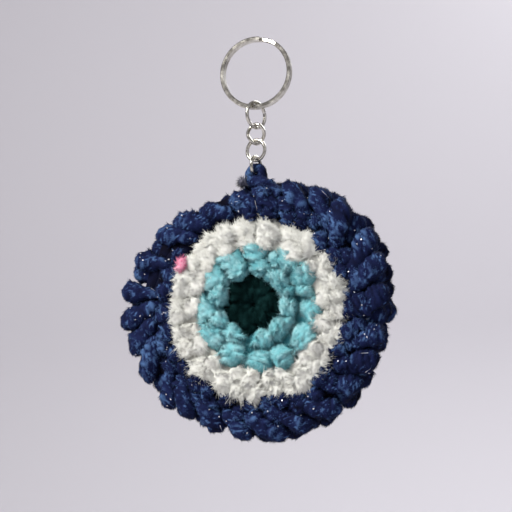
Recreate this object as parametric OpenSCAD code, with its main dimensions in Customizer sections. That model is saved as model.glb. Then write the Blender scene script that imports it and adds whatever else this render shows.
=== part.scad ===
// Crocheted evil eye charm on a split ring and a short chain.
// The origin is the point that the charm hangs from: the top of the split ring's bore.
// +Z is up, the face of the eye looks along -Y, and +X is to its right.

/* [Split ring] */
// Bore of the split ring
ring_bore = 22; // [21:0.5:25]
// Radial width of the flat ring wire
ring_wire_w = 1.5; // [1.3:0.1:1.8]
// Thickness of one turn of the ring wire
ring_wire_t = 1.2; // [1:0.1:1.3]
// Where the ring wire crosses from one turn to the other, in degrees from +X
crossing_angle = 68; // [40:1:75]

/* [Chain] */
// Wire diameter of the links
wire_d = 1.2; // [1:0.1:1.3]
// Outside diameter of the jump ring on the split ring
top_link_d = 10; // [9:0.5:11]
// Height of the twisted link
twisted_link_h = 8; // [7.6:0.1:8.6]
// Width of the twisted link
twisted_link_w = 6.7; // [6.2:0.1:7.4]
// Outside diameter of the lower link
lower_link_d = 8.2; // [8:0.1:9]
// Outside diameter of the jump ring in the yarn loop
end_link_d = 7.6; // [7.4:0.1:8.4]
// Free gap where one link hangs in the next
play = 0.1; // [0.05:0.01:0.15]

/* [Eye] */
// Outside diameter of the crocheted eye
eye_d = 87; // [82:1:92]
// Diameter of the dark pupil
pupil_d = 16; // [14:1:18]
// Diameter of the blue iris
iris_d = 40; // [38:1:42]
// Diameter of the white round
white_d = 59; // [57:1:61]
// Diameter of the inner navy round
navy_d = 71; // [69:1:72]
// Thickness of the stuffing between the two faces
fill_t = 9; // [8:0.5:11]
// Thickness of a crocheted face without its bobbles
face_t = 2; // [1.8:0.1:2.4]
// Height of the bobbles above their face
bobble_rise = 3; // [2.4:0.1:3.2]
// Bobbles round the edge, on each face
edge_bobbles = 26; // [24:1:26]
// Bobbles in the inner navy round
navy_bobbles = 26; // [22:1:28]
// Bobbles in the white round
white_bobbles = 22; // [18:1:24]
// Bobbles in the outer round of the iris
iris_outer_bobbles = 13; // [11:1:15]
// Bobbles in the inner round of the iris
iris_inner_bobbles = 9; // [8:1:10]

/* [Yarn] */
// Diameter of the yarn in the hanging loop
yarn_d = 3.4; // [3:0.1:3.6]
// Length of the cut yarn end beside the loop
tail_len = 5; // [4:0.5:6]

/* [Hidden] */
$fn = 48;
fine = 96;             // $fn of the large circles

turn_gap = 0.15;       // free gap between the split ring's two turns
ring_chamfer = 0.3;
crossing_span = 30;    // degrees that the crossing wire takes
seam_gap = 2;          // degrees left open where a link's ends meet

// Directions that the links' wire runs in, seen from above, in degrees from +X
top_link_yaw = 63;
twisted_top_yaw = -21;
twisted_bottom_yaw = 55;
lower_link_yaw = -17;
end_link_yaw = 77;
loop_yaw = end_link_yaw - 90;

// The top link's round bore straddles the flat outside of the split ring,
// so it hangs a little lower than round wire on round wire would
ring_flat = ring_wire_t + turn_gap / 2 - ring_chamfer;
top_link_bore_r = top_link_d / 2 - wire_d;
straddle = top_link_bore_r - sqrt(pow(top_link_bore_r, 2) - pow(ring_flat / sin(top_link_yaw), 2));

// Heights of the wire's centre at the top and bottom of each link
wire_r = wire_d / 2;
hang_step = wire_d + play;
top_link_hi = -ring_bore + straddle + play + wire_r;
top_link_lo = top_link_hi - (top_link_d - wire_d);
twisted_hi = top_link_lo + hang_step;
twisted_lo = twisted_hi - (twisted_link_h - wire_d);
lower_link_hi = twisted_lo + hang_step;
lower_link_lo = lower_link_hi - (lower_link_d - wire_d);
end_link_hi = lower_link_lo + hang_step;
end_link_lo = end_link_hi - (end_link_d - wire_d);

eye_drop = 1.6;        // from the end link's wire down to the top of the eye
eye_z = end_link_lo - eye_drop - eye_d / 2;
loop_r = wire_r + play + yarn_d / 2;
leg_len = 6.6;         // how deep the loop's legs run below the end link's wire

// Each bobble stands clear of the edges of its round by this much
bobble_inset = 0.1;
iris_split_d = (pupil_d + iris_d) / 2;
crest = face_t + bobble_rise;
pupil_bobble_r = (crest - bobble_inset) / 2;
edge_bobble_r = (eye_d - navy_d) / 4 - bobble_inset / 2;
edge_base_w = 4.5;     // radial width of the edge row under its bobbles

// ---- Metal ----

// Cross-section of one turn of the split ring, with its inner face at x = 0
module ring_section(inset = 0) {
    w = ring_wire_w - inset;
    t = ring_wire_t / 2 - inset;
    c = ring_chamfer;
    polygon([
        [inset + c, -t], [w - c, -t], [w, c - t], [w, t - c],
        [w - c, t], [inset + c, t], [inset, t - c], [inset, c - t]
    ]);
}

// Part of one turn, standing upright, from one angle to another, shifted along Y
module ring_arc(from, to, y, inset = 0) {
    translate([0, y, -ring_bore / 2])
        rotate([90, 0, 0])
            rotate([0, 0, from])
                rotate_extrude(angle = to - from, $fn = fine)
                    translate([ring_bore / 2, 0])
                        ring_section(inset);
}

// Share of the way across that the crossing wire has made, easing in and out
function eased(s) = s * s * (3 - 2 * s);

// Two turns side by side, and the short stretch of wire that crosses from one to the other
module split_ring() {
    level = (ring_wire_t + turn_gap) / 2;
    start = crossing_angle + crossing_span / 2;
    finish = start + 360 - crossing_span;
    steps = 6;
    slice = 1;
    pace = (crossing_span + slice) / steps;
    inset = 0.02;
    color("silver") {
        ring_arc(start, finish, -level);
        ring_arc(start, finish, level);
        for (i = [0 : steps - 1]) {
            a = finish - 360 - slice + i * pace;
            b = a + pace;
            hull() {
                ring_arc(a, a + slice, level * (2 * eased(i / steps) - 1), inset);
                ring_arc(b, b + slice, level * (2 * eased((i + 1) / steps) - 1), inset);
            }
        }
    }
}

// A round link of wire, upright, with its butted seam at the angle given
module wire_link(outer_d, top_z, yaw, seam) {
    color("silver")
        translate([0, 0, top_z - (outer_d - wire_d) / 2])
            rotate([90, 0, yaw])
                rotate([0, 0, seam])
                    rotate_extrude(angle = 360 - seam_gap)
                        translate([(outer_d - wire_d) / 2, 0])
                            circle(d = wire_d);
}

module top_jump_ring() wire_link(top_link_d, top_link_hi, top_link_yaw, 20);
module lower_link() wire_link(lower_link_d, lower_link_hi, lower_link_yaw, 170);
module end_jump_ring() wire_link(end_link_d, end_link_hi, end_link_yaw, 0);

// Centreline of the twisted link: an oval whose plane turns from its top to its bottom
function twisted_yaw(t) =
    (twisted_top_yaw + twisted_bottom_yaw) / 2
    + (twisted_top_yaw - twisted_bottom_yaw) / 2 * sin(t);
function twisted_point(t) =
    let (side = (twisted_link_w - wire_d) / 2 * cos(t))
    [side * cos(twisted_yaw(t)), side * sin(twisted_yaw(t)),
     (twisted_link_h - wire_d) / 2 * sin(t)];

function unit(v) = v / norm(v);

// One ring of points round the wire of the twisted link
function twisted_ring(t, sides) =
    let (
        at = twisted_point(t),
        along = unit(twisted_point(t + 1) - twisted_point(t - 1)),
        out = unit(at - (at * along) * along),
        across = cross(along, out)
    )
    [for (k = [0 : sides - 1])
        at + wire_r * (cos(360 * k / sides) * out + sin(360 * k / sides) * across)];

module twisted_link() {
    sides = 12;
    rings = 60;
    seam_at = 185;
    arc = 360 - seam_gap;
    points = [for (i = [0 : rings]) each twisted_ring(seam_at + arc * i / rings, sides)];
    walls = [for (i = [0 : rings - 1], k = [0 : sides - 1])
        let (n = (k + 1) % sides)
        [i * sides + k, i * sides + n, (i + 1) * sides + n, (i + 1) * sides + k]];
    first_cap = [for (k = [sides - 1 : -1 : 0]) k];
    last_cap = [for (k = [0 : sides - 1]) rings * sides + k];
    color("silver")
        translate([0, 0, (twisted_hi + twisted_lo) / 2])
            polyhedron(points = points, faces = concat(walls, [first_cap, last_cap]));
}

// ---- Yarn ----

// A loop of yarn through the end link, its legs running down into the edge rows
module loop_shape() {
    translate([0, 0, end_link_lo])
        rotate([0, 0, loop_yaw]) {
            rotate([90, 0, 0])
                rotate_extrude(angle = 180)
                    translate([loop_r, 0])
                        circle(d = yarn_d);
            for (side = [-1, 1])
                translate([side * loop_r, 0, -leg_len])
                    cylinder(d = yarn_d, h = leg_len);
        }
}

module hanging_loop() {
    color("midnightblue") loop_shape();
}

// The cut end of the yarn, which leaves the loop's left leg and points up and out
module yarn_tail() {
    root_x = -loop_r - yarn_d / 3;
    root_y = -0.6;
    root_drop = 3.2;
    lean = -52;
    root_d = 2.2;
    tip_d = 1;
    color("slategray")
        difference() {
            translate([root_x, root_y, end_link_lo - root_drop])
                rotate([0, lean, 0])
                    cylinder(d1 = root_d, d2 = tip_d, h = tail_len + yarn_d / 2);
            loop_shape();
            edge_row_shape(1);
            edge_row_shape(-1);
        }
}

// A bobble of yarn along Y: a round bar with domed ends
module yarn_bobble(length, width) {
    straight = length - width;
    rotate([90, 0, 0])
        rotate_extrude()
            intersection() {
                union() {
                    for (end = [-1, 1])
                        translate([0, end * straight / 2])
                            circle(d = width);
                    square([width, straight], center = true);
                }
                translate([0, -length])
                    square([width, 2 * length]);
            }
}

// Turns a face built round +Z to the front (side 1) or to the back (side -1) of the eye
module on_face(side) {
    translate([0, 0, eye_z])
        rotate([side * 90, 0, 0])
            children();
}

// A flat band between two circles
module band(inner_d, outer_d, thickness) {
    linear_extrude(thickness)
        difference() {
            circle(d = outer_d, $fn = fine);
            circle(d = inner_d, $fn = fine);
        }
}

// One crocheted round: a band with a ring of bobbles that point at the middle
module crochet_round(inner_d, outer_d, count, side) {
    middle_r = (inner_d + outer_d) / 4;
    pitch = 2 * PI * middle_r / count;
    length = (outer_d - inner_d) / 2 - 2 * bobble_inset;
    width = min(0.9 * pitch, crest - bobble_inset);
    on_face(side)
        translate([0, 0, fill_t / 2]) {
            band(inner_d, outer_d, face_t);
            for (i = [0 : count - 1])
                rotate([0, 0, 360 * i / count])
                    translate([0, middle_r, crest - width / 2])
                        yarn_bobble(length, width);
        }
}

// The row of bobbles that joins the two faces at the edge of the eye
module edge_row_shape(side) {
    stand_off = edge_bobble_r + bobble_inset / 2;
    on_face(side) {
        band(navy_d, navy_d + 2 * edge_base_w, (fill_t + face_t) / 2);
        for (i = [0 : edge_bobbles - 1])
            rotate([0, 0, 360 * (i + 0.5) / edge_bobbles])
                translate([0, navy_d / 2 + stand_off, stand_off])
                    sphere(r = edge_bobble_r);
    }
}

module edge_row(side) {
    color("midnightblue")
        difference() {
            edge_row_shape(side);
            loop_shape();
        }
}

// The pupil: a flat disc with one bobble in the middle and a ring of them round it
module pupil(side) {
    bobbles = 6;
    color([0.03, 0.07, 0.06])
        on_face(side)
            translate([0, 0, fill_t / 2]) {
                cylinder(d = pupil_d, h = face_t, $fn = fine);
                translate([0, 0, pupil_bobble_r + bobble_inset / 2]) {
                    sphere(r = pupil_bobble_r);
                    for (i = [0 : bobbles - 1])
                        rotate([0, 0, 360 * i / bobbles])
                            translate([pupil_d / 2 - pupil_bobble_r - bobble_inset, 0, 0])
                                sphere(r = pupil_bobble_r);
                }
            }
}

module iris_inner(side) {
    color("mediumturquoise") crochet_round(pupil_d, iris_split_d, iris_inner_bobbles, side);
}

module iris_outer(side) {
    color("mediumturquoise") crochet_round(iris_split_d, iris_d, iris_outer_bobbles, side);
}

module white_round(side) {
    color("ivory") crochet_round(iris_d, white_d, white_bobbles, side);
}

module navy_round(side) {
    color("midnightblue") crochet_round(white_d, navy_d, navy_bobbles, side);
}

module front_pupil() pupil(1);
module front_iris_inner() iris_inner(1);
module front_iris_outer() iris_outer(1);
module front_white_round() white_round(1);
module front_navy_round() navy_round(1);
module front_edge_row() edge_row(1);
module back_pupil() pupil(-1);
module back_iris_inner() iris_inner(-1);
module back_iris_outer() iris_outer(-1);
module back_white_round() white_round(-1);
module back_navy_round() navy_round(-1);
module back_edge_row() edge_row(-1);

module stuffing() {
    color("white")
        translate([0, fill_t / 2, eye_z])
            rotate([90, 0, 0])
                cylinder(d = navy_d, h = fill_t, $fn = fine);
}

// A tuft of pink yarn caught between two bobbles of the white round
module pink_fleck() {
    fleck_angle = 90 + 3.5 * 360 / white_bobbles;
    fleck_r = 1.3;
    inward = 1.9;
    lift = 0.5;
    color("hotpink")
        on_face(1)
            rotate([0, 0, fleck_angle])
                translate([white_d / 2 - inward, 0, fill_t / 2 + face_t])
                    intersection() {
                        translate([0, 0, lift])
                            sphere(r = fleck_r);
                        cylinder(r = 2 * fleck_r, h = 2 * fleck_r);
                    }
}

split_ring();
top_jump_ring();
twisted_link();
lower_link();
end_jump_ring();
hanging_loop();
yarn_tail();
stuffing();
front_pupil();
front_iris_inner();
front_iris_outer();
front_white_round();
front_navy_round();
front_edge_row();
back_pupil();
back_iris_inner();
back_iris_outer();
back_white_round();
back_navy_round();
back_edge_row();
pink_fleck();
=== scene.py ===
"""The looks of a crocheted evil eye charm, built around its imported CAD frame.

The charm is worked in chenille yarn. Each stitch shows as a puff of pile that is pinched where
the yarn dives under, so every round here is a bed of yarn, a ring of puffs on it, and tufts of
pile on the puffs. Yarn is built in millimetres and turned into metres when its mesh is made.
"""

import math

import bpy
import numpy as np
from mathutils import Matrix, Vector


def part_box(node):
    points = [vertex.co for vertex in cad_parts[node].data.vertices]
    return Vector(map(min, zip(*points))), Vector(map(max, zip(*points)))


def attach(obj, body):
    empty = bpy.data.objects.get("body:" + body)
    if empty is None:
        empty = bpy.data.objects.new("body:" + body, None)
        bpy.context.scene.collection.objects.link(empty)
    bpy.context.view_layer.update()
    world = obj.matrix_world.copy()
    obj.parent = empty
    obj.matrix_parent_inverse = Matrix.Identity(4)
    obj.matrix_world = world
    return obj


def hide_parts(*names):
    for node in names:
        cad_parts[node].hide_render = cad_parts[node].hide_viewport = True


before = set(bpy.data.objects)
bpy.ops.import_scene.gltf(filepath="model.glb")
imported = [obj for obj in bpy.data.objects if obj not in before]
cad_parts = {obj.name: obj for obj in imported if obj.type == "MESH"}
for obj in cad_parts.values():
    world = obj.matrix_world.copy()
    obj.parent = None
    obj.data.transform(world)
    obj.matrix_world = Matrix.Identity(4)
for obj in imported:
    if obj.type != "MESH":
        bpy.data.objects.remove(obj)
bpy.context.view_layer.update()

MM = 0.001
SEED = 15
EYE = "eye"
FRONT, BACK = 1, -1
SIDE_NAMES = {FRONT: "front", BACK: "back"}
# Every piece has random numbers of its own, and so has its pile: what is drawn for one of them
# doesn't change where the others' puffs lie
SIDE_SEEDS = {FRONT: 0, BACK: 500}
PIECE_SEEDS = {"pupil": 0, "iris_inner": 5, "iris_outer": 10, "white_round": 20, "navy_round": 30,
               "edge_row": 40, "hanging_loop": 50, "yarn_tail": 52, "pink_fleck": 54, "stuffing": 56,
               "glitter": 60}
PILE_SEED_STEP = 9000


def seed_of(piece, side=FRONT):
    """The seed of a piece's random numbers."""
    return SEED + PIECE_SEEDS[piece] + SIDE_SEEDS[side]


# ---------------------------------------------------------------- sizes from the frame, in mm


def box_mm(node):
    """Lowest and highest corner of a CAD node as two arrays, in millimetres."""
    low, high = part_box(node)
    return np.array(low) / MM, np.array(high) / MM


def outer_radius(node):
    """Half the width of a CAD node, in millimetres."""
    low, high = box_mm(node)
    return (high[0] - low[0]) / 2


fill_low, fill_high = box_mm("stuffing")
EYE_CENTRE = (fill_low + fill_high) / 2
FILL_DEPTH = (fill_high[1] - fill_low[1]) / 2
PUPIL_R = outer_radius("front_pupil")
IRIS_MID_R = outer_radius("front_iris_inner")
IRIS_R = outer_radius("front_iris_outer")
WHITE_R = outer_radius("front_white_round")
NAVY_R = outer_radius("front_navy_round")
EYE_R = outer_radius("front_edge_row")

# How many limbs or stitches each round is made of
PUPIL_LIMBS = 7
IRIS_INNER_STITCHES = 9
IRIS_OUTER_STITCHES = 12
WHITE_STITCHES = 22
NAVY_STITCHES = 31
EDGE_STITCHES = 26


# ---------------------------------------------------------------- yarn geometry


def unit(v):
    """Vectors at length 1, along the last axis."""
    shortest = 1e-9
    return v / np.maximum(np.linalg.norm(v, axis=-1, keepdims=True), shortest)


def smooth(t):
    """Eases from 0 at 0 to 1 at 1."""
    t = np.clip(t, 0, 1)
    return t * t * (3 - 2 * t)


def near_angle(angle, centre, reach):
    """1 where angle is centre, falling to 0 at reach from it. All in degrees."""
    away = abs((angle - centre + 180) % 360 - 180)
    return float(smooth(1 - away / reach))


class Lumps:
    """Smooth random values from about -1 to 1 over space: waves in random directions."""

    def __init__(self, size, seed):
        waves = 10
        rng = np.random.default_rng(seed)
        pace = 2 * np.pi / size * rng.uniform(0.6, 1.5, (waves, 1))
        self.waves = unit(rng.normal(size=(waves, 3))) * pace
        self.phases = rng.uniform(0, 2 * np.pi, waves)
        self.scale = 1 / math.sqrt(waves)

    def __call__(self, points):
        return np.sin(points @ self.waves.T + self.phases).sum(-1) * self.scale

    def creased(self, points):
        """Rounded swellings with creases between them: from -1 in a crease to about 1."""
        steepness, roundness, depth = 2.4, 0.02, 1.3
        return steepness * np.sqrt(self(points) ** 2 + roundness) - depth


# Sizes in mm of the cloudy changes of shade, and of the locks that the pile lies in
CLOUD_SIZE = 9.0
COMB_SIZE = 2.6
# Shades run from 0, deep, to 1, pale: that of plain yarn; how far a fold moves it either way, as
# painted shade in its crease and painted light on its crest; how far a cloud moves it either way;
# and the painted shade of the yarn under the puffs
MIDDLE_SHADE = 0.52
FOLD_PAINTED_SHADING = 0.11
CLOUD_SHADE = 0.06
BED_PAINTED_SHADE = 0.15
# Where the painted highlight on the lip of a fold is, and how broad, from -1 in the crease to 1 on
# the crest
LIP_HIGHLIGHT_AT = -0.4
LIP_HIGHLIGHT_BREADTH = 0.18
# How high a fold stands where its strand is at full thickness, as a part of the strand's fold
FOLD_LIFT = 0.8


class Yarn:
    """Gathers the surfaces of one piece, then makes one mesh of them.

    glint is how much paler the pile is painted along the lips of its folds, a painted highlight.
    soft is how far it is lit as if it all faced forwards, as loose pile that light passes through
    is. mottle_and_tip_highlight is how much one tuft differs in shade from the next, and how much it
    adds to the painted highlight on the tufts' tips."""

    def __init__(self, seed, fold_size=5.0, glint=0.0, soft=0.0, mottle_and_tip_highlight=0.06):
        self.glint, self.soft, self.mottle_and_tip_highlight = glint, soft, mottle_and_tip_highlight
        self.rng = np.random.default_rng(seed)
        self.pile_rng = np.random.default_rng(seed + PILE_SEED_STEP)
        self.folds = Lumps(fold_size, seed + 1)
        self.cloud = Lumps(CLOUD_SIZE, seed + 2)
        self.comb = [Lumps(COMB_SIZE, seed + 3 + axis) for axis in range(3)]
        self.points, self.normals, self.shades, self.roots = [], [], [], []
        self.faces = {3: [], 4: []}
        self.count = 0

    def add(self, points, normals, shades, *face_sets):
        """Takes in points with their normals and shades, and faces that count from them."""
        for faces in face_sets:
            self.faces[faces.shape[1]].append(faces + self.count)
        self.points.append(points.reshape(-1, 3))
        self.normals.append(unit(normals.reshape(-1, 3) - (0, self.soft, 0)))
        self.shades.append(shades.ravel())
        self.count += self.points[-1].shape[0]

    def closed_tube(self, grid, normals, shades):
        """A skin over a grid of (rings, sides, 3) points, closed at both ends by a point."""
        n, sides = grid.shape[:2]
        i, k = np.meshgrid(np.arange(n - 1), np.arange(sides), indexing="ij")
        i, k, after = i.ravel(), k.ravel(), (k.ravel() + 1) % sides
        quads = np.stack([i * sides + k, (i + 1) * sides + k,
                          (i + 1) * sides + after, i * sides + after], -1)
        start, finish, side = n * sides, n * sides + 1, np.arange(sides)
        after, last = (side + 1) % sides, (n - 1) * sides
        first = np.stack([np.full(sides, start), side, after], -1)
        final = np.stack([np.full(sides, finish), last + after, last + side], -1)
        points = np.concatenate([grid.reshape(-1, 3), [grid[0].mean(0), grid[-1].mean(0)]])
        rings = grid.mean(1)
        ends = unit(np.stack([rings[0] - rings[1], rings[-1] - rings[-2]]))
        values = np.concatenate([shades.ravel(), [shades[0].mean(), shades[-1].mean()]])
        self.add(points, np.concatenate([normals.reshape(-1, 3), ends]), values, quads,
                 np.concatenate([first, final]))

    def tufts(self, roots, directions, outward, lengths, widths, tints):
        """Thin three-sided spikes of pile, flattened, and open where they are rooted. They are
        lit much as the skin under them is, so that together they look soft."""
        flatness, round_shading, tip_shading = 0.5, 0.12, 0.2
        across = unit(np.cross(directions, outward))
        thick = np.cross(across, directions)
        n = len(roots)
        points, normals = np.empty((n, 4, 3)), np.empty((n, 4, 3))
        for corner in range(3):
            turn = math.radians(90 + 120 * corner)
            offset = across * math.cos(turn) + thick * (flatness * math.sin(turn))
            points[:, corner] = roots + offset * (widths / 2)[:, None]
            normals[:, corner] = outward + round_shading * offset
        points[:, 3] = roots + directions * lengths[:, None]
        normals[:, 3] = outward + tip_shading * directions
        # Tufts are painted darker at the root, painted shade, and paler at the tip, a painted
        # highlight
        painted_root_shade, painted_tip_highlight = -0.05, 0.08 + 0.5 * self.mottle_and_tip_highlight
        shades = np.array([painted_root_shade] * 3 + [painted_tip_highlight]) + tints[:, None]
        faces = 4 * np.arange(n)[:, None, None] + np.array([[0, 3, 1], [1, 3, 2], [2, 3, 0]])
        self.add(points, normals, shades, faces.reshape(-1, 3))
        self.roots.append(np.stack([roots, outward], 1))

    def make(self, name, material, side=FRONT, slot=None):
        """One smooth mesh object. The back face is the front one turned half round Z."""
        turned = np.array([side, side, 1.0])
        points = (np.concatenate(self.points) * turned + EYE_CENTRE) * MM
        tris, quads = (np.concatenate(self.faces[n] or [np.empty((0, n), int)]) for n in (3, 4))
        corners = np.concatenate([tris.ravel(), quads.ravel()]).astype(np.int32)
        starts = np.concatenate([3 * np.arange(len(tris)), tris.size + 4 * np.arange(len(quads))])
        mesh = bpy.data.meshes.new(name)
        mesh.vertices.add(len(points))
        mesh.vertices.foreach_set("co", points.astype(np.float32).ravel())
        mesh.loops.add(len(corners))
        mesh.loops.foreach_set("vertex_index", corners)
        mesh.polygons.add(len(starts))
        mesh.polygons.foreach_set("loop_start", starts.astype(np.int32))
        mesh.update(calc_edges=True)
        mesh.normals_split_custom_set_from_vertices(np.concatenate(self.normals) * turned)
        shade = mesh.attributes.new("shade", "FLOAT", "POINT")
        shade.data.foreach_set("value", np.concatenate(self.shades).astype(np.float32))
        mesh.materials.append(material)
        piece = bpy.data.objects.new(name, mesh)
        bpy.context.scene.collection.objects.link(piece)
        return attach(piece, EYE)


class Strand:
    """A length of yarn along a centreline: line(s) gives its points for s from 0 to 1.

    Its skin is a grid of points with folds in it, fold high and stretched along the strand.
    swell(s) is how much of its width and height it has there. Its flanks are painted darker by
    painted_recess_shade, painted shade where they face sideways into the gaps between puffs. Its
    shades also carry painted shade in the creases of its folds, painted light on their crests and a
    painted highlight along their lips."""

    def __init__(self, yarn, line, width, height, swell, fold=0.5, stretch=1.6, painted_recess_shade=0.3,
                 rings=22, sides=24):
        first_ring, step = 0.12, 0.02
        self.yarn = yarn
        self.s = 0.5 - 0.5 * np.cos(np.linspace(first_ring, np.pi - first_ring, rings))
        centre = line(self.s)
        along = unit(line(np.clip(self.s + step, 0, 1)) - line(np.clip(self.s - step, 0, 1)))
        across = unit(np.cross(along, (0, -1, 0)))
        up = np.cross(across, along)
        turn = np.linspace(0, 2 * np.pi, sides, endpoint=False)[:, None]
        thickness = swell(self.s)[:, None]
        ring = across[:, None] * np.cos(turn) * width + up[:, None] * np.sin(turn) * height
        offset = thickness[..., None] / 2 * ring
        # Places that run slower along the strand, which draws its folds out
        run = np.linalg.norm(line(1.0) - line(0.0)) * self.s / stretch
        places = offset + centre[:, None] + along[:, None] * run[:, None, None]
        places -= (along * np.sum(centre * along, -1, keepdims=True))[:, None]
        self.folds = yarn.folds.creased(places)
        lift = fold * self.folds * (FOLD_LIFT * thickness)
        self.grid = centre[:, None] + offset + unit(ring) * lift[..., None]
        self.along = along
        around = np.roll(self.grid, -1, axis=1) - np.roll(self.grid, 1, axis=1)
        self.normals = unit(np.cross(np.gradient(self.grid, axis=0), around))
        flank = 1 - np.clip(-self.normals[..., 1], 0, 1)
        # Painted shade: darker in fold creases and on flanks that turn away from the face; painted
        # light: paler on fold crests
        self.shades = MIDDLE_SHADE + FOLD_PAINTED_SHADING * self.folds - painted_recess_shade * flank**2
        self.shades += CLOUD_SHADE * yarn.cloud(self.grid)
        # Painted highlight along the lips of the folds
        self.shades += yarn.glint * np.exp(-(((self.folds - LIP_HIGHLIGHT_AT) / LIP_HIGHLIGHT_BREADTH) ** 2))
        yarn.closed_tube(self.grid, self.normals, self.shades)

    def pile(self, density, length, width, lay=0.7, spread=0.4, middle=0.45, deepest=-0.35):
        """Tufts over the skin, density of them to a square millimetre, where it faces forwards
        by more than deepest. lay is 0 where they stand up and 1 where they lie flat, combed away
        from the middle of the strand, with spread in their directions. They are longest where
        the skin turns away from the face, and so fringe its outline."""
        yarn, rng = self.yarn, self.yarn.pile_rng
        one, two, three = self.grid[:-1], self.grid[1:], np.roll(self.grid, -1, axis=1)[:-1]
        area = np.linalg.norm(np.cross(two - one, three - one), axis=-1)
        seen = (area * (self.normals[:-1] @ np.array([0, -1, 0]) > deepest)).ravel()
        n = int(density * seen.sum())
        cell = rng.choice(seen.size, n, p=seen / seen.sum())
        u, v = rng.uniform(0, 1, (2, n, 1))
        one, two, three = (c.reshape(-1, 3)[cell] for c in (one, two, three))
        roots = one + (two - one) * u + (three - one) * v
        normal = self.normals[:-1].reshape(-1, 3)[cell]
        ring = cell // area.shape[1]
        # How sharply the pile parts at the middle, how far tufts stray as they flow and as they
        # stand, and how deep they are rooted for their length
        parting, stray_flow, stray, rooted = 4, 0.12, 0.08, 0.1
        combed = np.stack([lumps(roots) for lumps in yarn.comb], -1)
        jitter = rng.normal(size=(n, 3))
        away = np.clip((self.s[ring] - middle) * parting, -1, 1)[:, None] * self.along[ring]
        flow = away + spread * combed + stray_flow * jitter
        flow -= normal * np.sum(flow * normal, -1, keepdims=True)
        directions = unit(normal * (1 - lay) + unit(flow) * lay + stray * jitter)
        # Each tuft takes the shade of the skin under it, its painted shade and painted light
        # included, with a random change of tone
        tints = self.shades[:-1].ravel()[cell] + rng.uniform(-1, 1, n) * yarn.mottle_and_tip_highlight
        shortest, growth = 0.55, 0.7
        turned_away = 1 - np.clip(-normal[:, 1], 0, 1)
        lengths = length * (shortest + growth * turned_away) * rng.uniform(0.7, 1.25, n)
        widths = width * rng.uniform(0.6, 1.4, n)
        roots = roots - normal * (rooted * length)
        yarn.tufts(roots, directions, normal, lengths, widths, tints)


def puff_line(angle, inner, outer, drift, low_in, low_out, rise):
    """Centreline of a puff: out from the inner radius, over a crest, and down at the outer one.
    Its inner end lies drift degrees clockwise of angle."""
    breadth_of_crest = 0.8

    def line(s):
        s = np.asarray(s, float)
        radius = inner + (outer - inner) * s
        turn = np.radians(angle - drift * (1 - s))
        crest = np.sin(np.pi * s) ** breadth_of_crest
        depth = low_in + (low_out - low_in) * s + rise * crest
        return np.stack([radius * np.cos(turn), -depth, radius * np.sin(turn)], -1)

    return line


def domed(s, cap):
    """Full thickness but for a round end within cap of each end of the strand."""
    return np.sqrt(1 - (1 - np.clip(np.minimum(s, 1 - s) / cap, 0, 1)) ** 2)


def pinched(pinch, full_at=0.6, waist=0.0, cap=0.34):
    """A puff's thickness along it: thin where the yarn dives, full from full_at on, round ended,
    and drawn in by waist near its middle."""
    waist_at, waist_breadth = 0.45, 0.13

    def swell(s):
        drawn = 1 - waist * np.exp(-(((s - waist_at) / waist_breadth) ** 2))
        return domed(s, cap) * (pinch + (1 - pinch) * smooth(s / full_at)) * drawn

    return swell


def bed(yarn, inner, outer, low, high):
    """The closed band of yarn under a round's puffs, between two radii and two depths."""
    sides, rings = 10, 150
    squareness, unevenness = 0.5, 0.3
    turn = np.linspace(0, 2 * np.pi, sides, endpoint=False)
    across, out = np.cos(turn), np.sin(turn)
    radius = (inner + outer) / 2 + (outer - inner) / 2 * np.sign(across) * abs(across) ** squareness
    depth = (low + high) / 2 + (high - low) / 2 * np.sign(out) * abs(out) ** squareness
    around = np.linspace(0, 2 * np.pi, rings, endpoint=False)[:, None]
    shape = (rings, sides)
    points = np.stack([radius * np.cos(around), np.broadcast_to(-depth, shape),
                       radius * np.sin(around)], -1)
    normals = np.stack([across * np.cos(around), np.broadcast_to(-out, shape),
                        across * np.sin(around)], -1)
    points = points + unevenness * normals * yarn.folds(points)[..., None]
    i, k = (index.ravel() for index in np.indices(shape))
    after_i, after_k = (i + 1) % rings, (k + 1) % sides
    quads = np.stack([i * sides + k, after_i * sides + k,
                      after_i * sides + after_k, i * sides + after_k], -1)
    # The bed is given a deep shade: painted shade in the gaps between the puffs
    yarn.add(points, normals, np.full(shape, BED_PAINTED_SHADE), quads)


# ---------------------------------------------------------------- the rounds of a face

# Parts of the face, as (centre, reach either way) in degrees as seen from the front: where small
# curls stand in the iris; where the edge's puffs are long and reach in to the white; where no
# puffs of the navy round stand in front of those; and where the edge has gaps or is widest
CURLY_PART = (350, 130)
LONG_PUFFS = (150, 80)
BARE_PUFFS = (122, 36)
GAPPED_PART = (172, 42)
WIDE_PART = (0, 80)
# How deep in such a part a puff lies before the part counts for it, from 0 to 1
CURLY_FROM = 0.3
HIDDEN_FROM = 0.35
GAPS_FROM = 0.8
# How the hand-worked outline departs from a circle: (at angle, within reach of it, by mm), as
# seen from the front
OUTLINE = ((34, 48, 4.6), (112, 44, -6.0), (176, 50, 3.8), (252, 26, -1.8), (325, 70, 1.2))


def as_seen(side, angle):
    """The angle at which a place on a face is seen from the front: the back face is mirrored."""
    return angle if side == FRONT else 180 - angle


def shift(yarn, x, z):
    """Moves a gathered round sideways and up, as the hand-worked rounds sit off centre."""
    yarn.points = [p + np.array([x, 0, z]) for p in yarn.points]


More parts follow.
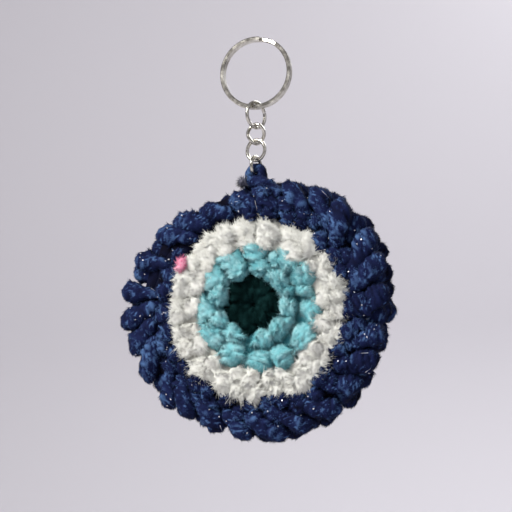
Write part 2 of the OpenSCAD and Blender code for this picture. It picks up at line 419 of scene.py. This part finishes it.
def pupil_round(side):
    """Limbs of dark yarn that meet at the middle of the eye."""
    yarn = Yarn(seed_of("pupil", side), fold_size=4.0)
    bed(yarn, inner=0.3, outer=PUPIL_R + 1.5, low=FILL_DEPTH - 0.3, high=FILL_DEPTH + 0.8)
    for i in range(PUPIL_LIMBS):
        angle = 360 * (i + yarn.rng.uniform(-0.2, 0.2)) / PUPIL_LIMBS
        line = puff_line(angle, inner=1.0, outer=PUPIL_R + 2.2, drift=0, low_in=FILL_DEPTH + 0.8,
                         low_out=FILL_DEPTH + 0.5, rise=0.7)
        limb = Strand(yarn, line, width=6.8, height=2.6, swell=pinched(0.5), fold=0.45)
        limb.pile(density=14, length=1.6, width=0.26, lay=0.6)
    return yarn


def iris_round(part, side, inner, outer, count):
    """One round of the iris: a fat shell-like puff to each stitch, and small curls between them
    at the right of the face."""
    yarn = Yarn(seed_of(part, side), fold_size=5.0, soft=0.2, mottle_and_tip_highlight=0.22)
    rng = yarn.rng
    bed(yarn, inner=inner - 1.8, outer=outer + 0.3, low=FILL_DEPTH - 0.3, high=FILL_DEPTH + 0.9)
    pitch = 2 * np.pi * (inner + outer) / 2 / count
    low = FILL_DEPTH + 1.1
    curl_low = low + 0.9
    for i in range(count):
        angle = 360 * (i + rng.uniform(-0.14, 0.14)) / count
        line = puff_line(angle, inner=inner - rng.uniform(0.2, 1.8),
                         outer=outer + rng.uniform(-0.3, 0.9), drift=rng.uniform(-10, 16),
                         low_in=low, low_out=low + 0.2, rise=rng.uniform(0.5, 1.4))
        puff = Strand(yarn, line, width=pitch * rng.uniform(0.88, 1.04),
                      height=rng.uniform(4.4, 5.4), swell=pinched(rng.uniform(0.45, 0.7), cap=0.42),
                      fold=0.5, stretch=4.0, painted_recess_shade=0.45, rings=30, sides=34)
        puff.pile(density=20, length=2.1, width=0.26, lay=0.75)
        if near_angle(as_seen(side, angle), *CURLY_PART) > CURLY_FROM:
            middle = rng.uniform(inner + 1.0, outer - 1.0)
            line = puff_line(angle + 180 / count, inner=middle - 2.0, outer=middle + 2.2,
                             drift=rng.uniform(-25, 25), low_in=curl_low, low_out=curl_low,
                             rise=0.6)
            curl = Strand(yarn, line, width=rng.uniform(2.4, 3.6), height=3.2, swell=pinched(0.8),
                          fold=0.4, rings=16, sides=16)
            curl.pile(density=20, length=1.8, width=0.26, lay=0.7, spread=0.6)
    return yarn


def iris_inner_round(side):
    """The small puffs round the pupil."""
    return iris_round("iris_inner", side, PUPIL_R + 2.1, IRIS_MID_R, IRIS_INNER_STITCHES)


def iris_outer_round(side):
    """The larger puffs beside the white."""
    return iris_round("iris_outer", side, IRIS_MID_R, IRIS_R + 0.8, IRIS_OUTER_STITCHES)


# The three puffs of a white stitch, as (inner end, outer end, place beside the stitch): the ends
# are parts of the round's depth, the place is a part of a stitch
WHITE_PUFFS = ((-0.06, 0.60, 0.0), (0.40, 0.98, 0.3), (0.45, 0.96, -0.22))


def white_round(side):
    """Soft loose puffs, with pile that fringes the navy."""
    yarn = Yarn(seed_of("white_round", side), fold_size=4.6, soft=1.3, mottle_and_tip_highlight=0.35)
    rng = yarn.rng
    bed(yarn, inner=IRIS_R - 0.5, outer=WHITE_R + 0.3, low=FILL_DEPTH - 0.3, high=FILL_DEPTH + 1.8)
    pitch = 2 * np.pi * (IRIS_R + WHITE_R) / 2 / WHITE_STITCHES
    deep = WHITE_R - IRIS_R
    low = FILL_DEPTH + 1.5
    for i in range(WHITE_STITCHES):
        for near, far, beside in WHITE_PUFFS:
            angle = 360 * (i + beside + rng.uniform(-0.1, 0.1)) / WHITE_STITCHES
            line = puff_line(angle, inner=IRIS_R + deep * (near + rng.uniform(-0.04, 0.04)),
                             outer=IRIS_R + deep * (far + rng.uniform(-0.05, 0.05)),
                             drift=rng.uniform(-12, 18), low_in=low, low_out=low,
                             rise=rng.uniform(0.4, 1.3))
            puff = Strand(yarn, line, width=pitch * rng.uniform(0.66, 0.85),
                          height=rng.uniform(3.6, 4.4), swell=pinched(rng.uniform(0.7, 0.95)),
                          fold=0.4, painted_recess_shade=0.15, rings=18, sides=20)
            puff.pile(density=12.5, length=3.0, width=0.31, lay=0.72, spread=0.7, middle=0.3,
                      deepest=0.0)
    return yarn


# The two puffs of a navy stitch, as for the white ones and then the height of each over the filling
NAVY_PUFFS = ((-0.1, 0.62, 0.0, 1.5), (0.5, 1.2, 0.5, 1.1))


def navy_round(side):
    """Small tangled puffs inside the edge, left out where the edge's own puffs hide them."""
    yarn = Yarn(seed_of("navy_round", side), fold_size=4.6, glint=0.5, mottle_and_tip_highlight=0.16)
    rng = yarn.rng
    bed(yarn, inner=WHITE_R - 0.6, outer=NAVY_R + 0.6, low=FILL_DEPTH - 0.6, high=FILL_DEPTH + 1.3)
    pitch = 2 * np.pi * (WHITE_R + NAVY_R) / 2 / NAVY_STITCHES
    deep = NAVY_R - WHITE_R
    for i in range(NAVY_STITCHES):
        for near, far, beside, height in NAVY_PUFFS:
            angle = 360 * (i + beside + rng.uniform(-0.2, 0.2)) / NAVY_STITCHES
            seen = as_seen(side, angle)
            hidden = near_angle(seen, *BARE_PUFFS)
            if beside:
                hidden = max(hidden, near_angle(seen, *LONG_PUFFS))
            if hidden > HIDDEN_FROM:
                continue
            low = FILL_DEPTH + height + rng.uniform(-0.3, 0.3)
            line = puff_line(angle, inner=WHITE_R + deep * (near + rng.uniform(-0.12, 0.12)),
                             outer=WHITE_R + deep * (far + rng.uniform(-0.1, 0.1)),
                             drift=rng.uniform(-2, 12), low_in=low, low_out=low,
                             rise=rng.uniform(0.2, 1.0))
            puff = Strand(yarn, line, width=pitch * rng.uniform(0.75, 1.0),
                          height=rng.uniform(3.8, 4.8),
                          swell=pinched(rng.uniform(0.7, 1.0), waist=rng.uniform(0, 0.3)),
                          fold=0.45, rings=18, sides=20)
            puff.pile(density=9, length=1.2, width=0.28, lay=0.75, deepest=-0.1)
    return yarn


def edge_round(side):
    """The long slanting puffs round the edge, and the ones low down between them. On the left
    of the face they lie straight, stand out the most and leave gaps."""
    yarn = Yarn(seed_of("edge_row", side), fold_size=6.0, glint=0.5, mottle_and_tip_highlight=0.14)
    rng = yarn.rng
    bed(yarn, inner=NAVY_R - 1.5, outer=EYE_R - 5.0, low=0.0, high=FILL_DEPTH + 0.5)
    for i in range(EDGE_STITCHES):
        angle = 360 * (i + 0.5 + rng.uniform(-0.16, 0.16)) / EDGE_STITCHES
        seen = as_seen(side, angle)
        left = near_angle(seen, *GAPPED_PART)
        right = near_angle(seen, *WIDE_PART)
        inner = NAVY_R - 1.5 - 4.0 * near_angle(seen, *LONG_PUFFS) + rng.uniform(-0.8, 0.8)
        outer = EYE_R - 0.8 + rng.uniform(-0.6, 0.6)
        outer += sum(by * near_angle(seen, at, reach) for at, reach, by in OUTLINE)
        line = puff_line(angle, inner, outer, drift=18 - 14 * left - 4 * right + rng.uniform(-3, 3),
                         low_in=FILL_DEPTH + 1.2, low_out=3.6, rise=rng.uniform(0.8, 1.8))
        shape = pinched(rng.uniform(0.5, 0.8) - 0.15 * left, full_at=0.6 + 0.3 * left,
                        waist=rng.uniform(0, 0.35))
        puff = Strand(yarn, line, width=rng.uniform(6.0, 7.2) + 1.2 * max(left, right),
                      height=rng.uniform(5.6, 6.6), swell=shape, fold=0.35, stretch=2.4, rings=32,
                      sides=26)
        puff.pile(density=5.8, length=1.1, width=0.28, lay=0.75, spread=0.35, deepest=-0.6)
        if left < GAPS_FROM:
            line = puff_line(angle + rng.uniform(5, 9), inner=NAVY_R,
                             outer=outer - rng.uniform(0.0, 0.8), drift=4, low_in=1.8,
                             low_out=1.4, rise=0.3)
            puff = Strand(yarn, line, width=7.4, height=5.4, swell=pinched(0.8), fold=0.3,
                          rings=18, sides=20)
            puff.pile(density=5, length=1.1, width=0.28, lay=0.75, spread=0.35, deepest=-0.6)
    return yarn


def arch(radius, leg, low, yaw):
    """Centreline of an upside-down U from its left foot to its right one."""
    bend = np.pi * radius

    def line(s):
        run = np.asarray(s, float) * (2 * leg + bend)
        turn = np.clip((run - leg) / radius, 0, np.pi)
        x = -radius * np.cos(turn)
        rise = np.minimum(run, leg) - np.maximum(run - leg - bend, 0) + radius * np.sin(turn)
        return np.stack([x * math.cos(yaw), x * math.sin(yaw), low + rise], -1)

    return line


def curve(*places):
    """Centreline through three or four places, as one smooth curve."""
    order = len(places) - 1
    power = np.arange(order + 1)
    stations = np.linspace(0, 1, order + 1)[:, None] ** power
    weights = np.linalg.solve(stations, np.array(places, float))

    def line(s):
        return (np.asarray(s, float)[..., None] ** power) @ weights

    return line


def even(s):
    """The same thickness all along, with short round ends."""
    return domed(s, 0.06)


def frayed(s):
    """The thickness of a cut end: it opens out towards its tip."""
    root, opening, tip_sharpness = 0.65, 0.6, 5
    return (root + opening * s) * np.clip((1 - s) * tip_sharpness, 0, 1) ** 0.5


# The loop stands square to the end link. Its pile stays short, so that it clears the lower link.
LOOP_YAW = math.radians(-13)
LOOP_YARN = 3.2
# Pile stands all round the free strands, so its deepest is beyond straight back
ALL_ROUND = -1.1


def hanging_loop():
    """The loop through the end link, whose right leg runs on over the edge as a thick strand."""
    low, high = (corner - EYE_CENTRE for corner in box_mm("hanging_loop"))
    slimmer = 0.1
    radius = (high[0] - LOOP_YARN / 2 - slimmer) / math.cos(LOOP_YAW)
    crown = high[2] - LOOP_YARN / 2 - radius
    yarn = Yarn(seed_of("hanging_loop"), fold_size=4.0, glint=0.3)
    loop = Strand(yarn, arch(radius, crown - low[2], low[2], LOOP_YAW), width=LOOP_YARN,
                  height=LOOP_YARN, swell=even, fold=0.1, stretch=2, rings=60, sides=20)
    loop.pile(density=14, length=0.65, width=0.26, lay=0.8, deepest=ALL_ROUND)
    # The strand starts at the left leg and crosses in front of the loop to the edge at its right
    start = np.array([-0.6 * radius, -1.6, low[2] + 3.4])
    run_on = curve(start, start + (4.4, -1.2, -0.2), start + (11.2, -2.6, -5.2))
    strand = Strand(yarn, run_on, width=4.6, height=4.0, swell=even, fold=0.3, stretch=2.4, rings=30)
    strand.pile(density=9, length=1.1, width=0.28, lay=0.75, deepest=ALL_ROUND)
    return yarn


def yarn_tail():
    """The cut end of the yarn beside the loop, its pile standing out all round it."""
    low, high = (corner - EYE_CENTRE for corner in box_mm("yarn_tail"))
    yarn = Yarn(seed_of("yarn_tail"), fold_size=3.0)
    root = np.array([high[0] + 1.0, low[1] - 0.4, low[2] + 0.6])
    tip = root + (-3.0, -0.4, 0.7)
    tail = Strand(yarn, curve(root, (root + tip) / 2 + (0, 0, 0.4), tip), width=2.4, height=2.4,
                  swell=frayed, fold=0.2, rings=18, sides=16)
    tail.pile(density=16, length=1.5, width=0.26, lay=0.45, middle=0.0, deepest=ALL_ROUND)
    return yarn


def pink_fleck():
    """The tuft of pink yarn caught between the white and the navy."""
    low, high = (corner - EYE_CENTRE for corner in box_mm("pink_fleck"))
    yarn = Yarn(seed_of("pink_fleck"), fold_size=2.0, soft=0.5, mottle_and_tip_highlight=0.3)
    middle = (low + high) / 2 + (0.0, -1.8, 0.0)
    reach = np.array([0.5, 0.0, 2.0])
    fleck = Strand(yarn, curve(middle + reach, middle + (0, -0.4, 0), middle - reach), width=2.6,
                   height=2.2, swell=pinched(0.8), fold=0.25, rings=14, sides=14)
    fleck.pile(density=20, length=1.5, width=0.26, lay=0.45, spread=0.7)
    return yarn


def stuffing():
    """The cushion of fibre inside, lumpy and a little flatter at its rim."""
    low, high = box_mm("stuffing")
    radius, depth = (high[0] - low[0]) / 2, (high[1] - low[1]) / 2
    tiers, sides, nearly_poles = 40, 72, 88
    rim_fullness, lump_height, inset = 0.45, 0.35, 0.3
    middle_shade, lump_painted_shade = 0.5, 0.2
    yarn = Yarn(seed_of("stuffing"), fold_size=7.0)
    lift, around = np.meshgrid(np.radians(np.linspace(-nearly_poles, nearly_poles, tiers)),
                               np.linspace(0, 2 * np.pi, sides, endpoint=False), indexing="ij")
    out = np.cos(lift) ** rim_fullness
    grid = np.stack([radius * out * np.cos(around), depth * np.sin(lift),
                     radius * out * np.sin(around)], -1)
    normals = unit(grid * np.array([1 / radius, 1 / depth, 1 / radius]))
    lumps = yarn.folds.creased(grid)
    grid = grid + normals * (lump_height * np.clip(lumps, -1, 0.6) - inset)[..., None]
    # Painted shade in the creases between the lumps, painted light on the lumps
    yarn.closed_tube(grid[::-1], normals[::-1], middle_shade + lump_painted_shade * lumps[::-1])
    return yarn


def sparkles(side, sources):
    """Dots of glitter and ends of silvery thread, lying on the pile of some of a face's rounds
    where it faces forwards."""
    dots, threads = 160, 12
    height, rise, steepest, shade = 0.45, 0.12, 0.5, 0.5
    yarn = Yarn(seed_of("glitter") + side)
    rng = yarn.rng
    found = np.concatenate([np.concatenate(source.roots) for source in sources])
    facing = found[-found[:, 1, 1] > steepest]
    chosen = facing[rng.choice(len(facing), dots + threads, replace=False)]
    roots, outward = chosen[:, 0] + height * chosen[:, 1], chosen[:, 1]
    flat = np.cross(outward, rng.normal(size=roots.shape))
    n = len(roots)
    thread = np.arange(n) < threads
    lengths = np.where(thread, rng.uniform(1.8, 4.0, n), rng.uniform(0.3, 0.7, n))
    widths = np.where(thread, 0.2, rng.uniform(0.3, 0.65, n))
    lean = unit(unit(flat) + rise * outward)
    yarn.tufts(roots, lean, outward, lengths, widths, np.full(n, shade))
    return yarn


# ---------------------------------------------------------------- materials


def new_material(name):
    """A material with its nodes, its links and its shader."""
    material = bpy.data.materials.new(name)
    material.use_nodes = True
    nodes, links = material.node_tree.nodes, material.node_tree.links
    return material, nodes, links, nodes["Principled BSDF"]


def noise(nodes, links, scale, detail):
    """Cloudy values from 0 to 1 over the piece's own space: scale of them to a metre."""
    where = nodes.new("ShaderNodeTexCoord")
    cloud = nodes.new("ShaderNodeTexNoise")
    cloud.inputs["Scale"].default_value = scale
    cloud.inputs["Detail"].default_value = detail
    links.new(where.outputs["Object"], cloud.inputs["Vector"])
    return cloud.outputs["Fac"]


def colour_by(nodes, links, value, shader, first, last):
    """Colours the shader by value, from first to last, each a (position, colour)."""
    ramp = nodes.new("ShaderNodeValToRGB")
    stops = ramp.color_ramp.elements
    for stop, (position, colour) in zip(stops, (first, last)):
        stop.position, stop.color = position, (*colour, 1)
    links.new(value, ramp.inputs["Fac"])
    links.new(ramp.outputs["Color"], shader.inputs["Base Color"])
    return stops


def yarn_material(name, deep, body, tip, clouding=0.5, sheen=0.15, sheen_tint=(1, 1, 1),
                  gloss=0.3, body_at=0.45):
    """Pile coloured by its shade: deep where painted shade lies in its folds, crevices and tuft
    roots, pale where painted light lies on its crests and tuft tips, with cloudy patches that are
    partly changes of dye and, on the navy, partly painted velvet sheen. clouding is how far the
    clouds shift it between the two."""
    material, nodes, links, shader = new_material(name)
    shade = nodes.new("ShaderNodeAttribute")
    shade.attribute_name = "shade"
    centred = nodes.new("ShaderNodeMath")
    centred.operation = "MULTIPLY_ADD"
    centred.inputs[1].default_value = 2 * clouding
    centred.inputs[2].default_value = -clouding
    links.new(noise(nodes, links, scale=180, detail=5), centred.inputs[0])
    total = nodes.new("ShaderNodeMath")
    total.operation = "ADD"
    links.new(shade.outputs["Fac"], total.inputs[0])
    links.new(centred.outputs["Value"], total.inputs[1])
    stops = colour_by(nodes, links, total.outputs["Value"], shader, (0.1, deep), (0.9, tip))
    stops.new(body_at).color = (*body, 1)
    shader.inputs["Roughness"].default_value = 0.85
    shader.inputs["Specular IOR Level"].default_value = gloss
    shader.inputs["Sheen Weight"].default_value = sheen
    shader.inputs["Sheen Roughness"].default_value = 0.4
    shader.inputs["Sheen Tint"].default_value = (*sheen_tint, 1)
    return material


def nickel_material(name, roughness):
    """Nickel plate, a little warm, with a slight cloudiness in its tone and its gloss."""
    material, nodes, links, shader = new_material(name)
    shader.inputs["Metallic"].default_value = 1
    haze = noise(nodes, links, scale=500, detail=4)
    colour_by(nodes, links, haze, shader, (0.35, (0.40, 0.38, 0.33)), (0.65, (0.66, 0.64, 0.58)))
    gloss = nodes.new("ShaderNodeMapRange")
    gloss.inputs["From Min"].default_value = 0.35
    gloss.inputs["From Max"].default_value = 0.7
    gloss.inputs["To Min"].default_value = roughness
    gloss.inputs["To Max"].default_value = roughness + 0.12
    links.new(haze, gloss.inputs["Value"])
    links.new(gloss.outputs["Result"], shader.inputs["Roughness"])
    return material


def glitter_material():
    """Flakes and thread of silvered film, some of them dull."""
    material, nodes, links, shader = new_material("silver_glitter")
    spots = noise(nodes, links, scale=700, detail=2)
    colour_by(nodes, links, spots, shader, (0.3, (0.35, 0.40, 0.52)), (0.6, (0.95, 0.95, 1.0)))
    shader.inputs["Metallic"].default_value = 0.4
    shader.inputs["Roughness"].default_value = 0.35
    return material


# The navy's cloudy patches of paler blue are partly changes of dye and partly painted velvet sheen
NAVY = yarn_material("navy_pile", (0.001, 0.001, 0.006), (0.007, 0.012, 0.052),
                     (0.055, 0.11, 0.24), clouding=0.5, sheen=0.03, sheen_tint=(0.3, 0.5, 1),
                     gloss=0.08, body_at=0.64)
TURQUOISE = yarn_material("turquoise_pile", (0.04, 0.22, 0.26), (0.155, 0.44, 0.48),
                          (0.31, 0.57, 0.60), sheen_tint=(0.7, 0.95, 1))
WHITE = yarn_material("white_pile", (0.50, 0.49, 0.44), (0.68, 0.69, 0.64), (0.72, 0.73, 0.69),
                      sheen=0.1)
DARK = yarn_material("dark_pile", (0.001, 0.003, 0.003), (0.002, 0.008, 0.008),
                     (0.006, 0.024, 0.024), sheen=0, gloss=0)
FRAYED = yarn_material("frayed_navy_pile", (0.004, 0.005, 0.016), (0.016, 0.020, 0.045),
                       (0.12, 0.12, 0.16))
PINK = yarn_material("pink_pile", (0.60, 0.10, 0.22), (0.88, 0.26, 0.42), (0.95, 0.52, 0.64))
FIBRE = yarn_material("fibrefill", (0.55, 0.55, 0.53), (0.72, 0.72, 0.70), (0.82, 0.82, 0.81),
                      sheen=0.4)
GLITTER = glitter_material()

# ---------------------------------------------------------------- assembly

# Maker, material, slot, and how far off centre the hand-worked round sits, sideways and up, in mm
ROUND_MAKERS = {
    "pupil": (pupil_round, DARK, "dark_yarn", 0.7, 1.1),
    "iris_inner": (iris_inner_round, TURQUOISE, "turquoise_yarn", 0.9, 1.0),
    "iris_outer": (iris_outer_round, TURQUOISE, "turquoise_yarn", 3.2, 0.1),
    "white_round": (white_round, WHITE, "white_yarn", 2.2, -0.8),
    "navy_round": (navy_round, NAVY, "navy_yarn", 1.2, 0.0),
    "edge_row": (edge_round, NAVY, "navy_yarn", 0.0, 0.0),
}

for side, side_name in SIDE_NAMES.items():
    rounds = {}
    for part, (maker, material, slot, off_x, off_z) in ROUND_MAKERS.items():
        rounds[part] = maker(side)
        shift(rounds[part], off_x, off_z)
        piece = rounds[part].make(f"{side_name}_{part}_yarn", material, side, slot)
        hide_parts(f"{side_name}_{part}")
    glitter = sparkles(side, [rounds["navy_round"], rounds["edge_row"]])
    glitter.make(f"{side_name}_glitter", GLITTER, side)

SMALL_MAKERS = {
    "hanging_loop": (hanging_loop, NAVY, "navy_yarn"),
    "yarn_tail": (yarn_tail, FRAYED, "navy_yarn"),
    "pink_fleck": (pink_fleck, PINK, "pink_yarn"),
}

for node, (maker, material, slot) in SMALL_MAKERS.items():
    piece = maker().make(f"{node}_yarn", material, slot=slot)
    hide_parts(node)

cushion = stuffing().make("stuffing_fibre", FIBRE, slot="fibrefill")
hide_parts("stuffing")

nickel = nickel_material("bright_nickel", roughness=0.14)
for node in ("split_ring", "top_jump_ring", "twisted_link", "lower_link", "end_jump_ring"):
    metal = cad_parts[node]
    metal.data.materials.clear()
    metal.data.materials.append(nickel)

# ---------------------------------------------------------------- stage, light and camera


def backdrop():
    """A pale floor under the charm that sweeps up into a wall a good way behind it."""
    front_y, floor_z, wall_y, top_z = -1.6, -0.30, 0.95, 1.6
    sweep, steps, half_width = 0.25, 12, 2.2
    rows = [(front_y, floor_z), (wall_y - sweep, floor_z)]
    for i in range(1, steps + 1):
        turn = math.radians(90 * i / steps)
        rows.append((wall_y - sweep + sweep * math.sin(turn),
                     floor_z + sweep * (1 - math.cos(turn))))
    rows.append((wall_y, top_z))
    points = [(x, y, z) for y, z in rows for x in (-half_width, half_width)]
    faces = [(2 * i, 2 * i + 1, 2 * i + 3, 2 * i + 2) for i in range(len(rows) - 1)]
    mesh = bpy.data.meshes.new("backdrop")
    mesh.from_pydata(points, [], faces)
    mesh.shade_smooth()
    sheet = bpy.data.objects.new("backdrop", mesh)
    bpy.context.scene.collection.objects.link(sheet)
    material, _, _, shader = new_material("backdrop_paint")
    shader.inputs["Base Color"].default_value = (0.56, 0.55, 0.59, 1)
    shader.inputs["Roughness"].default_value = 0.9
    mesh.materials.append(material)


def area_light(name, place, target, size, power, colour):
    """A square light, size metres wide, that shines at the target."""
    data = bpy.data.lights.new(name, "AREA")
    data.size = size
    data.energy = power
    data.color = colour
    light = bpy.data.objects.new(name, data)
    light.location = place
    light.rotation_euler = (Vector(target) - Vector(place)).to_track_quat("-Z", "Y").to_euler()
    bpy.context.scene.collection.objects.link(light)


def camera(azimuth, elevation, target, frame_width, lens):
    """A camera that takes in frame_width metres at the target."""
    data = bpy.data.cameras.new("camera")
    data.lens = lens
    distance = frame_width / 2 / (data.sensor_width / 2 / lens)
    a, e = math.radians(azimuth), math.radians(elevation)
    back = Vector((math.sin(a) * math.cos(e), -math.cos(a) * math.cos(e), math.sin(e)))
    viewer = bpy.data.objects.new("camera", data)
    viewer.location = Vector(target) + back * distance
    viewer.rotation_euler = (-back).to_track_quat("-Z", "Y").to_euler()
    data.clip_start = 0.01
    bpy.context.scene.collection.objects.link(viewer)
    bpy.context.scene.camera = viewer


def world_light(colour, strength):
    """Even light from all round."""
    world = bpy.data.worlds.new("world")
    world.use_nodes = True
    sky = world.node_tree.nodes["Background"]
    sky.inputs["Color"].default_value = (*colour, 1)
    sky.inputs["Strength"].default_value = strength
    bpy.context.scene.world = world


LIT_PLACE = (0, 0, -0.074)
LIGHTS = {
    "key": {"place": (-0.55, -0.75, 0.60), "size": 0.45, "power": 19, "colour": (1.0, 0.97, 0.93)},
    "fill": {"place": (0.8, -0.6, 0.35), "size": 0.7, "power": 1.5, "colour": (0.93, 0.95, 1.0)},
    "back": {"place": (0.3, 0.75, 0.6), "size": 0.6, "power": 8, "colour": (1.0, 1.0, 1.0)},
}

backdrop()
for name, light in LIGHTS.items():
    area_light(name, target=LIT_PLACE, **light)
world_light(colour=(0.80, 0.78, 0.84), strength=0.4)
camera(azimuth=16, elevation=-6, target=(0.0, 0, -0.0735), frame_width=0.1713, lens=85)
bpy.context.scene.view_settings.view_transform = "Standard"
